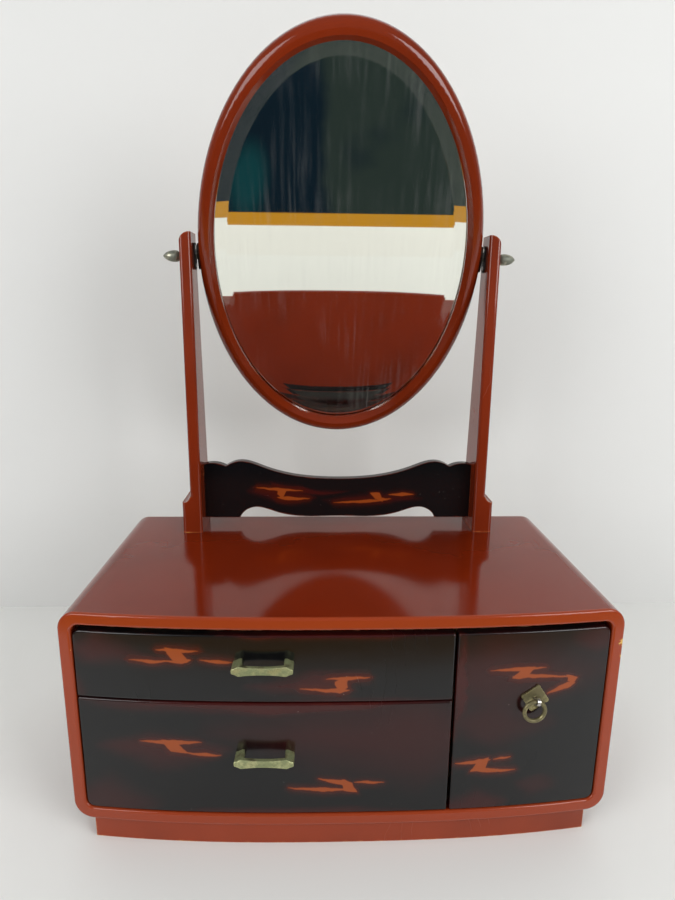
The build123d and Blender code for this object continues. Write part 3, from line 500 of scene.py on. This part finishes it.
DRIFTS = {
    "upper_drawer_front": (
        (-214, 176, -150, 170, 15, 0, 0.35, 0.75), (-100, 187, 84, 189, 5, 0, 0.6, 0.9),
        (-70, 143, 14, 150, 11, 0, 0.6, 0.8), (-190, 127, 90, 131, 6, 0, 0.7, 0.6),
        (-212, 184, -204, 126, 8, 0, 0.5, 0.7),
    ),
    "lower_drawer_front": (
        (-206, 128, 84, 130, 11, 0, 0.6, 1.0), (-110, 104, 120, 96, 40, 0, 0.75, 0.62),
        (-196, 86, -90, 88, 16, 0, 0.5, 0.75), (-214, 44, -140, 40, 20, 0, 0.3, 0.65),
        (-170, 29, 84, 31, 7, 0, 0.5, 0.8), (30, 90, 90, 84, 18, 0, 0.5, 0.6),
    ),
    "deep_drawer_front": (
        (60, 150, 214, 152, 40, 0, 0.35, 0.62), (84, 190, 90, 96, 10, 0, 0.5, 1.0),
        (170, 180, 216, 178, 14, 0, 0.6, 0.7), (80, 112, 170, 108, 22, 0, 0.4, 0.6),
        (80, 38, 130, 34, 13, 0, 0.4, 0.85), (130, 52, 170, 46, 10, 0, 0.5, 0.45),
    ),
    "stretcher": (
        (-96, 240, -20, 232, 9, 0, 0.5, 0.9), (-10, 230, 86, 232, 8, 0, 0.5, 0.8),
        (-70, 250, 10, 240, 4, -6, 0.4, 1.0),
    ),
}


def drift_group(name):
    """Where a piece's black has thinned to maroon, from 0 to 1, with soft edges."""
    tree, into, out = group("drifts_of_" + name, {"Point": (0, 0, 0)}, {"Thinned": 0})
    flat = vectors(tree, "MULTIPLY", into["Point"], (1, 0, 1))
    together = None
    for x0, z0, x1, z1, half, bend, peak, most in DRIFTS[name]:
        inside = place(tree, brush_stroke, {
            "Point": flat, "Start": (x0 * MM, 0, z0 * MM), "End": (x1 * MM, 0, z1 * MM),
            "Half Width": half * MM, "Bend": bend * MM, "Peak": peak,
        })["Inside"]
        soft = maths(tree, "MULTIPLY", step(tree, inside, -0.45 * half * MM, 0.75 * half * MM), most)
        together = maths(tree, "MAXIMUM", together, soft) if together else soft
    fill(tree, out["Thinned"], together)
    return tree


def cloud_group(name):
    """All strokes of one piece, run together where they meet. Inside is in metres, above 0 in the orange."""
    tree, into, out = group("clouds_of_" + name, {"Point": (0, 0, 0)}, {"Inside": 0})
    flat = vectors(tree, "MULTIPLY", into["Point"], (1, 0, 1))
    together = None
    for x0, z0, x1, z1, half, bend, peak in STROKES[name]:
        stroke = place(tree, brush_stroke, {
            "Point": flat, "Start": (x0 * MM, 0, z0 * MM), "End": (x1 * MM, 0, z1 * MM),
            "Half Width": half * MM, "Bend": bend * MM, "Peak": peak,
        })["Inside"]
        together = maths(tree, "SMOOTH_MAX", together, stroke, 1.2 * MM) if together else stroke
    fill(tree, out["Inside"], together)
    return tree


# %% [markdown]
# The strokes are the orange. Around them the black thins to dark red in a soft, level haze, and the drifts
# give the maroon, pushed about by noise so that their edges wander. On the arris the black is rubbed through
# to the red under it. The back of a front was never lacquered, so it shows the wood of the board.

# %% Clouded black lacquer materials
BLACK = (0.004, 0.004, 0.0045, 1)
MAROON = (0.042, 0.0045, 0.004, 1)
HAZE_RED = (0.055, 0.006, 0.002, 1)
RUBBED_BLACK = (0.13, 0.018, 0.007, 1)
ORANGE = (0.27, 0.052, 0.008, 1)


def centred(tree, point, scale):
    """Three noises from -0.5 to 0.5 as a vector, to push a point about."""
    made = node(tree, "TexNoise", {"Vector": point, "Scale": scale, "Detail": 3.0}).outputs["Color"]
    return vectors(tree, "SUBTRACT", made, (0.5, 0.5, 0.5))


def clouded_black(name, seed, behind, bare_behind, worn):
    """Black lacquer with its orange clouds, which lie on the face in front of y = behind. seed moves the
    noise in the drifts, so that no two fronts match. The wood is bare past the depth bare_behind."""
    material, tree, surface, point = new_finish(name + "_black")
    clouds = cloud_group(name)
    nudge = vectors(tree, "MULTIPLY", centred(tree, point, 120.0), (0.004, 0, 0.0022))
    inside = place(tree, clouds, {"Point": vectors(tree, "ADD", point, nudge)})["Inside"]
    on_face = maths(tree, "LESS_THAN", node(tree, "SeparateXYZ", {"Vector": point}).outputs["Y"], behind)
    level = (0.3, 1, 1)
    drift = noise(tree, point, 26, 3, stretch=level, shift=seed)
    hazy = maths(tree, "MULTIPLY_ADD", maths(tree, "SUBTRACT", drift, 0.5), 0.008, inside)
    haze = step(tree, hazy, -0.009, 0.0015)
    haze = maths(tree, "MULTIPLY", maths(tree, "MULTIPLY", haze, haze), on_face)
    orange = maths(tree, "MULTIPLY", step(tree, inside, -0.0007, 0.0004), on_face)
    push = centred(tree, vectors(tree, "MULTIPLY", point, (0.5, 1, 1)), 24.0)
    pushed = vectors(tree, "ADD", point, vectors(tree, "MULTIPLY", push, (0.05, 0, 0.02)))
    thinned = place(tree, drift_group(name), {"Point": pushed})["Thinned"]
    wide = noise(tree, point, 14, 4, stretch=level, shift=tuple(part + 5 for part in seed))
    maroon = maths(tree, "MULTIPLY", thinned, maths(tree, "MULTIPLY_ADD", wide, 1.3, 0.3), clamp=True)
    shade = mix(tree, maroon, BLACK, MAROON)
    shade = mix(tree, haze, shade, HAZE_RED)
    shade = mix(tree, orange, shade, ORANGE)
    rub = place(tree, edge_wear, {"Point": point, "Reach": 0.002, "Break": 0.6, "Amount": worn})["Worn"]
    shade = mix(tree, rub, shade, RUBBED_BLACK)
    polish = place(tree, old_polish, {"Point": point, "Dust": 0.45, "Smudge": 0.5})
    shade = mix(tree, polish["Specks"], shade, DUST)
    rough = maths(tree, "MULTIPLY_ADD", polish["Dulled"], 0.12, 0.16)
    rough = maths(tree, "MULTIPLY_ADD", polish["Specks"], 0.5, rough)
    rough = maths(tree, "MULTIPLY_ADD", polish["Hairlines"], 0.2, rough)
    height = polish["Height"]
    if bare_behind:
        bare = place(tree, bare_inside, {
            "Point": point, "Low": (-1, -1, -1), "High": (1, 1, 1), "Lacquered Depth": bare_behind,
        })["Bare"]
        wood = place(tree, wood_grain, {"Point": point, "Along": (0.06, 1, 1)})
        shade = mix(tree, bare, shade, wood["Colour"])
        rough = maths(tree, "MAXIMUM", rough, maths(tree, "MULTIPLY", bare, 0.7))
        height = maths(tree, "MULTIPLY_ADD", bare, wood["Height"], height)
    coat(tree, surface, shade, rough, height)
    fill(tree, surface.inputs["Specular IOR Level"], LACQUER_SPECULAR)
    dress(material, name)


stretcher_low, stretcher_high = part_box("stretcher")
stretcher_middle = (stretcher_low.y + stretcher_high.y) / 2
fronts_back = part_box("deep_drawer_front")[1].y
bare_depth = 12 * MM
clouded_black("upper_drawer_front", (2.0, 0.0, 3.0), fronts_back, bare_depth, 0.4)
clouded_black("lower_drawer_front", (7.0, 0.0, 4.0), fronts_back, bare_depth, 0.42)
clouded_black("deep_drawer_front", (4.0, 0.0, 9.0), fronts_back, bare_depth, 0.42)
clouded_black("stretcher", (1.0, 0.0, 6.0), stretcher_middle, None, 0.42)

# %% [markdown]
# ## Bare wood
#
# Drawer sides, backs and floors, the shelf and the upright were planed and left. Their grain runs along each
# board's length, which is the way that the stretch draws the noise out.

# %% Wood materials
def plain_wood(name, along, pale, dark):
    """Unfinished board with its grain along one axis."""
    material, tree, surface, point = new_finish(name)
    wood = place(tree, wood_grain, {"Point": point, "Along": along, "Pale": pale, "Dark": dark})
    grime = step(tree, noise(tree, point, 7, 4), 0.4, 0.8)
    shade = mix(tree, maths(tree, "MULTIPLY", grime, 0.35), wood["Colour"], (0.2, 0.13, 0.07, 1))
    coat(tree, surface, shade, 0.7, wood["Height"])
    return material


PALE, DARK = (0.54, 0.38, 0.22, 1), (0.36, 0.22, 0.11, 1)
DRAWERS = ("upper_drawer", "lower_drawer", "deep_drawer")
lengthwise = plain_wood("softwood_lengthwise", (1, 0.06, 1), PALE, DARK)
crosswise = plain_wood("softwood_crosswise", (0.06, 1, 1), PALE, DARK)
thin_board = plain_wood("thin_board", (0.06, 1, 1), (0.46, 0.31, 0.17, 1), (0.3, 0.18, 0.09, 1))
SIDES = [f"{drawer}_side_{side}" for drawer in DRAWERS for side in ("left", "right")]
dress(lengthwise, "partition", "divider", *SIDES)
dress(crosswise, "plinth_back", *(drawer + "_back" for drawer in DRAWERS))
dress(thin_board, "back_panel", "mirror_back", *(drawer + "_floor" for drawer in DRAWERS))

# %% [markdown]
# ## Metals
#
# The pulls and the ring are cast brass gone olive, grainy from the sand of the mould and paler where fingers
# rub. The acorn screws are grey-green bronze. The plates at the pivots are blackened, and the screws, brads
# and the split pin are steel. All are metal under a patina, so one function makes them, from the clean
# colour, the patina's colour, and how coarse the casting is.

# %% Metal materials
def old_metal(name, clean, patina, covered, rough, grain, coarse):
    """Metal under patina. covered is how much of it the patina hides, rough its roughness where clean, and
    grain and coarse the height and scale of the cast skin."""
    material, tree, surface, point = new_finish(name)
    cloud = noise(tree, point, 160, 5)
    worn = place(tree, edge_wear, {"Point": point, "Reach": 0.0012, "Break": 0.5, "Amount": 0.45})["Worn"]
    hidden = step(tree, cloud, 0.75 - covered, 1.0 - covered)
    kept = maths(tree, "MULTIPLY_ADD", worn, -0.8, 1.0)
    hidden = maths(tree, "MULTIPLY", hidden, kept)
    sand = noise(tree, point, coarse, 3)
    pits = step(tree, sand, 0.5, 0.3)
    shade = mix(tree, hidden, clean, patina)
    pit_shade = tuple(0.35 * part for part in patina[:3]) + (1,)
    shade = mix(tree, maths(tree, "MULTIPLY", pits, 0.35), shade, pit_shade)
    rough = maths(tree, "MULTIPLY_ADD", hidden, 0.22, rough)
    coat(tree, surface, shade, rough, maths(tree, "MULTIPLY", sand, grain))
    fill(tree, surface.inputs["Metallic"], maths(tree, "MULTIPLY_ADD", hidden, -0.45, 1.0))
    return material


cast_brass = old_metal(
    "cast_brass", (0.55, 0.56, 0.30, 1), (0.27, 0.30, 0.15, 1),
    covered=0.42, rough=0.38, grain=0.22 * MM, coarse=1300,
)
ring_brass = old_metal(
    "ring_brass", (0.42, 0.38, 0.2, 1), (0.16, 0.14, 0.07, 1),
    covered=0.45, rough=0.26, grain=0.03 * MM, coarse=900,
)
bronze = old_metal(
    "grey_bronze", (0.42, 0.41, 0.32, 1), (0.2, 0.21, 0.17, 1),
    covered=0.45, rough=0.34, grain=0.02 * MM, coarse=900,
)
blackened = old_metal(
    "blackened_iron", (0.05, 0.045, 0.04, 1), (0.012, 0.011, 0.01, 1),
    covered=0.5, rough=0.4, grain=0.04 * MM, coarse=700,
)
steel = old_metal(
    "old_steel", (0.55, 0.54, 0.52, 1), (0.26, 0.24, 0.21, 1),
    covered=0.3, rough=0.3, grain=0.01 * MM, coarse=900,
)
dress(cast_brass, "upper_drawer_pull", "lower_drawer_pull")
dress(ring_brass, "ring_plate", "pull_ring")
dress(bronze, "pivot_screw_left", "pivot_screw_right", "washer_left", "washer_right")
dress(blackened, "post_plate_left", "post_plate_right", "frame_plate_left", "frame_plate_right")
dress(steel, "ring_staple", "back_brads", "stand_screws", "post_plate_screws", "frame_plate_screws",
      "upper_drawer_pull_screws", "lower_drawer_pull_screws")

# %% [markdown]
# ## The mirror
#
# The mirror is clear glass, bevelled all round on its face, with silver on its back. Light goes through the
# glass both ways, and the bevel bends it, so what is seen in the bevel is out of step with the rest.
# A mirror painted on the front of the glass would bend it the wrong way, so the glass stays glass, and the
# silver is its own thin piece just inside the back face. Dust lies on the glass in upright streaks where a
# cloth has been, and in specks. It is a sheen, the soft glow that fine dust gives, over the clear glass.

# %% Glass material
clear_glass, tree, surface, point = new_finish("clear_glass")
fill(tree, surface.inputs["Base Color"], (0.99, 1.0, 0.975, 1))
fill(tree, surface.inputs["Roughness"], 0.0)
fill(tree, surface.inputs["IOR"], 1.5)
fill(tree, surface.inputs["Transmission Weight"], 1.0)
wiping = noise(tree, point, 260, 4, stretch=(1, 0.05, 0.05))
cloudy = noise(tree, point, 13, 3)
streaks = maths(tree, "MULTIPLY", step(tree, wiping, 0.42, 0.72), step(tree, cloudy, 0.35, 0.7))
polish = place(tree, old_polish, {"Point": point, "Dust": 0.6, "Smudge": 0.5})
dusty = maths(tree, "MULTIPLY_ADD", streaks, 0.09, maths(tree, "MULTIPLY", polish["Specks"], 0.9))
fill(tree, surface.inputs["Sheen Weight"], dusty)
fill(tree, surface.inputs["Sheen Roughness"], 1.0)
dress(clear_glass, "mirror_glass")

# %% [markdown]
# The silvering is an oval sheet, a fifth of a millimetre thick. Its grid runs round and outwards: at angle a
# and share r of the radius a point is (half width r cos a, 0, half height r sin a) in the glass's own plane,
# which is then turned to the mirror's lean about the pivots' axis.

# %% Silver sheet
mirror_lean = math.radians(25)
mirror_drop = 3.4 * MM
pivot_behind_face = 3.0 * MM
glass_thickness = 5.0 * MM
screw_low, screw_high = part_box("pivot_screw_left")
pivot = np.array([0.0, (screw_low.y + screw_high.y) / 2, (screw_low.z + screw_high.z) / 2])
glass_half_width = glass_high.x
glass_half_height = 178.2 * MM
silver_reach = 0.997


def in_mirror(points):
    """Points in the upright mirror's own axes, from its pivots, turned to its lean: about X by the lean."""
    turned = np.empty_like(points)
    turned[:, 0] = points[:, 0]
    turned[:, 1] = points[:, 1] * math.cos(mirror_lean) - points[:, 2] * math.sin(mirror_lean)
    turned[:, 2] = points[:, 1] * math.sin(mirror_lean) + points[:, 2] * math.cos(mirror_lean)
    return turned + pivot


def oval_shell(name, profile, half_width, half_height, segments=144):
    """A profile of (share of the radius, depth) carried round an oval from pole to pole, as a closed mesh."""
    profile = np.array(profile, float)
    angle = np.linspace(0, 2 * math.pi, segments, endpoint=False)
    share = profile[1:-1, 0][:, None]
    depth = np.repeat(profile[1:-1, 1][:, None], segments, axis=1)
    across, up = half_width * share * np.cos(angle), half_height * share * np.sin(angle)
    rings = np.stack([across, depth, up], axis=-1)
    poles = np.array([[0, profile[0, 1], 0], [0, profile[-1, 1], 0]])
    points = np.concatenate([rings.reshape(-1, 3), poles]) - np.array([0, 0, mirror_drop])
    around = np.arange(segments)
    after = (around + 1) % segments
    row = np.arange(len(share) - 1)[:, None] * segments
    quads = np.stack([row + around, row + after, row + segments + after, row + segments + around], axis=-1)
    last = (len(share) - 1) * segments
    first_pole = len(points) - 2
    start = np.stack([np.full(segments, first_pole), after, around], axis=-1)
    end = np.stack([np.full(segments, first_pole + 1), last + around, last + after], axis=-1)
    mesh = bpy.data.meshes.new(name)
    faces = quads.reshape(-1, 4).tolist() + start.tolist() + end.tolist()
    mesh.from_pydata(in_mirror(points).tolist(), [], faces)
    mesh.validate()
    thing = bpy.data.objects.new(name, mesh)
    bpy.context.scene.collection.objects.link(thing)
    return thing


glass_back = glass_thickness - pivot_behind_face
silver_front, silver_back = glass_back - 0.3 * MM, glass_back - 0.1 * MM
silver = oval_shell(
    "silvering",
    [(0, silver_front), (0.5, silver_front), (silver_reach, silver_front),
     (silver_reach, silver_back), (0.5, silver_back), (0, silver_back)],
    glass_half_width, glass_half_height,
)
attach(silver, "mirror")
corners = np.array(silver.bound_box)
print("silver from", corners.min(0).round(4), "to", corners.max(0).round(4))

# %% [markdown]
# Old silver is a bare metal, a shade off white, and gone a very little soft where it has dulled.

# %% Silver material
old_silver, tree, surface, point = new_finish("old_silver")
polish = place(tree, old_polish, {"Point": point, "Dust": 0.3, "Smudge": 0.5})
fill(tree, surface.inputs["Metallic"], 1.0)
fill(tree, surface.inputs["Base Color"], (0.93, 0.93, 0.875, 1))
fill(tree, surface.inputs["Roughness"], maths(tree, "MULTIPLY_ADD", polish["Dulled"], 0.02, 0.01))
silver.data.materials.append(old_silver)

# %% [markdown]
# ## Table, wall and the room in the mirror
#
# The piece stands on a pale table in front of a pale wall, lit softly from both sides and from above. What
# the mirror shows is below its own height, because it leans forwards: the top of the case, the near part of
# the table, its orange edge, and past that a dark room. Those last two are never seen directly. They are a
# painted reflection: past its edge the table glows with their colours, as emission, for rays that come out of
# glass or off lacquer.

# %% Stage
wall_y = 0.402
far = 3.0


def sheet(name, corners):
    """A flat backdrop through four corners."""
    mesh = bpy.data.meshes.new(name)
    mesh.from_pydata(corners, [], [(0, 1, 2, 3)])
    thing = bpy.data.objects.new(name, mesh)
    bpy.context.scene.collection.objects.link(thing)
    return thing


table = sheet("table", [(-far, -far, 0), (far, -far, 0), (far, far, 0), (-far, far, 0)])
wall = sheet("wall", [(-far, wall_y, 0), (far, wall_y, 0), (far, wall_y, far), (-far, wall_y, far)])

# %% Table and wall materials
TABLE_EDGE = -0.350
STRIP_EDGE = -0.385
GLOSS_EDGE = -0.275
# Painted reflection: the orange edge of the table and the dark room, which the table gives out as glow past
# its edge for rays out of glass or off lacquer.
PAINTED_EDGE_ORANGE = (0.50, 0.235, 0.022, 1)
PAINTED_ROOM_LEFT = (0.005, 0.012, 0.020, 1)
PAINTED_ROOM_RIGHT = (0.022, 0.033, 0.030, 1)
PAINTED_ROOM_TEAL = (0.006, 0.042, 0.050, 1)
stage_finish, tree, surface, point = new_finish("pale_table")
fill(tree, surface.inputs["Base Color"], (0.79, 0.795, 0.775, 1))
fill(tree, surface.inputs["Roughness"], 0.6)
fill(tree, surface.inputs["Specular IOR Level"], 0.2)
ray = node(tree, "LightPath").outputs
place_on_table = node(tree, "SeparateXYZ", {"Vector": point}).outputs
along_y = place_on_table["Y"]
past_edge = maths(tree, "LESS_THAN", along_y, TABLE_EDGE)
in_glass = maths(tree, "MULTIPLY", ray["Is Transmission Ray"], past_edge)
off_lacquer = maths(tree, "MULTIPLY", ray["Is Glossy Ray"],
                    maths(tree, "SUBTRACT", 1.0, ray["Is Transmission Ray"]))
in_lacquer = maths(tree, "MULTIPLY", off_lacquer, maths(tree, "LESS_THAN", along_y, GLOSS_EDGE))
painted_reflection_seen = maths(tree, "MAXIMUM", in_glass, in_lacquer)
past_strip = maths(tree, "LESS_THAN", along_y, STRIP_EDGE)
shapes = noise(tree, point, 3.5, 3)
along_x = maths(tree, "MULTIPLY_ADD", maths(tree, "SUBTRACT", shapes, 0.5), 0.12, place_on_table["X"])
room = mix(tree, step(tree, along_x, -0.03, 0.01), PAINTED_ROOM_LEFT, PAINTED_ROOM_RIGHT)
room = mix(tree, maths(tree, "MULTIPLY", step(tree, shapes, 0.5, 0.68), 0.5), room, PAINTED_ROOM_LEFT)
from_teal = vectors(tree, "MULTIPLY", vectors(tree, "SUBTRACT", point, (-0.165, -0.48, 0)), (1, 0.35, 0))
from_teal = vectors(tree, "LENGTH", from_teal)
room = mix(tree, step(tree, from_teal, 0.055, 0.015), room, PAINTED_ROOM_TEAL)
# Painted reflection: here the table glows with the painted edge and room colours, as emission, instead of
# being lit.
painted_room_glow = node(tree, "Emission", {"Color": mix(tree, past_strip, PAINTED_EDGE_ORANGE, room)})
either = node(tree, "MixShader", {"Fac": painted_reflection_seen})
fill(tree, either.inputs[1], surface.outputs[0])
fill(tree, either.inputs[2], painted_room_glow.outputs[0])
fill(tree, tree.nodes["Material Output"].inputs["Surface"], either.outputs[0])
table.data.materials.append(stage_finish)

wall_finish, tree, surface, point = new_finish("pale_wall")
fill(tree, surface.inputs["Base Color"], (0.74, 0.745, 0.735, 1))
fill(tree, surface.inputs["Roughness"], 0.8)
fill(tree, surface.inputs["Specular IOR Level"], 0.1)
back = node(tree, "NewGeometry").outputs["Backfacing"]
clear = node(tree, "BsdfTransparent")
shadow = node(tree, "LightPath").outputs["Is Shadow Ray"]
either = node(tree, "MixShader", {"Fac": maths(tree, "MAXIMUM", back, shadow)})
fill(tree, either.inputs[1], surface.outputs[0])
fill(tree, either.inputs[2], clear.outputs[0])
fill(tree, tree.nodes["Material Output"].inputs["Surface"], either.outputs[0])
wall.data.materials.append(wall_finish)

# %% [markdown]
# ## Light
#
# Two large square lamps stand in front to the right and left, the right one a little stronger, and a larger
# one hangs above. Large lamps give the soft shadows of the photograph. The one above stands for a ceiling's
# glow, which is too weak to show in the lacquer, so gloss doesn't see it. A pale surround fills the rest.

# %% Lamps
def soft_lamp(name, spot, target, size, watts, mirrored=True):
    """A square soft light at spot, facing target. One that isn't mirrored lights but shows in no gloss."""
    data = bpy.data.lights.new(name, "AREA")
    data.size = size
    data.energy = watts
    lamp = bpy.data.objects.new(name, data)
    spot, target = np.array(spot, float), np.array(target, float)
    lamp.location = spot
    lamp.rotation_euler = Vector(target - spot).to_track_quat("-Z", "Y").to_euler()
    lamp.visible_glossy = mirrored
    bpy.context.scene.collection.objects.link(lamp)


soft_lamp("lamp_right", (1.15, -1.05, 0.85), (0, 0.15, 0.3), 0.9, 17)
soft_lamp("lamp_left", (-1.15, -1.05, 0.85), (0, 0.15, 0.3), 0.9, 13)
soft_lamp("lamp_above", (0, -0.3, 2.0), (0, 0.1, 0), 2.0, 12, mirrored=False)
world = bpy.data.worlds.new("pale_room")
bpy.context.scene.world = world
world.use_nodes = True
sky = world.node_tree
surround = sky.nodes["Background"]
fill(sky, surround.inputs["Color"], (0.8, 0.8, 0.79, 1))
looked_at = node(sky, "LightPath").outputs["Is Camera Ray"]
fill(sky, surround.inputs["Strength"], maths(sky, "MULTIPLY_ADD", looked_at, 0.65, 0.25))
bpy.context.scene.view_settings.view_transform = "Standard"

# %% [markdown]
# ## Camera
#
# The photographer stood close and held the camera a little above the mirror's middle, looking down. A wide
# lens that near makes the box splay towards us. Place, aim and lens come from fitting the outlines of the
# case, posts and mirror in the photograph.

# %% Camera
yaw, pitch, roll = math.radians(1.88), math.radians(13.19), math.radians(0.55)
focal_pixels, photo_height, sensor = 628.0, 900.0, 36.0
ahead = np.array([math.sin(yaw) * math.cos(pitch), math.cos(yaw) * math.cos(pitch), -math.sin(pitch)])
level_right = np.array([math.cos(yaw), -math.sin(yaw), 0.0])
level_up = np.cross(level_right, ahead)
right = math.cos(roll) * level_right + math.sin(roll) * level_up
up = -math.sin(roll) * level_right + math.cos(roll) * level_up
camera_data = bpy.data.cameras.new("camera")
camera_data.lens = focal_pixels * sensor / photo_height
camera_data.sensor_width = sensor
camera_data.clip_start = 0.01
camera = bpy.data.objects.new("camera", camera_data)
camera.location = (-0.0212, -0.4307, 0.4253)
turn = Matrix(np.column_stack([right, up, -ahead]).tolist())
camera.rotation_euler = turn.to_euler()
bpy.context.scene.collection.objects.link(camera)
bpy.context.scene.camera = camera
print("lens", round(camera_data.lens, 2), "mm")
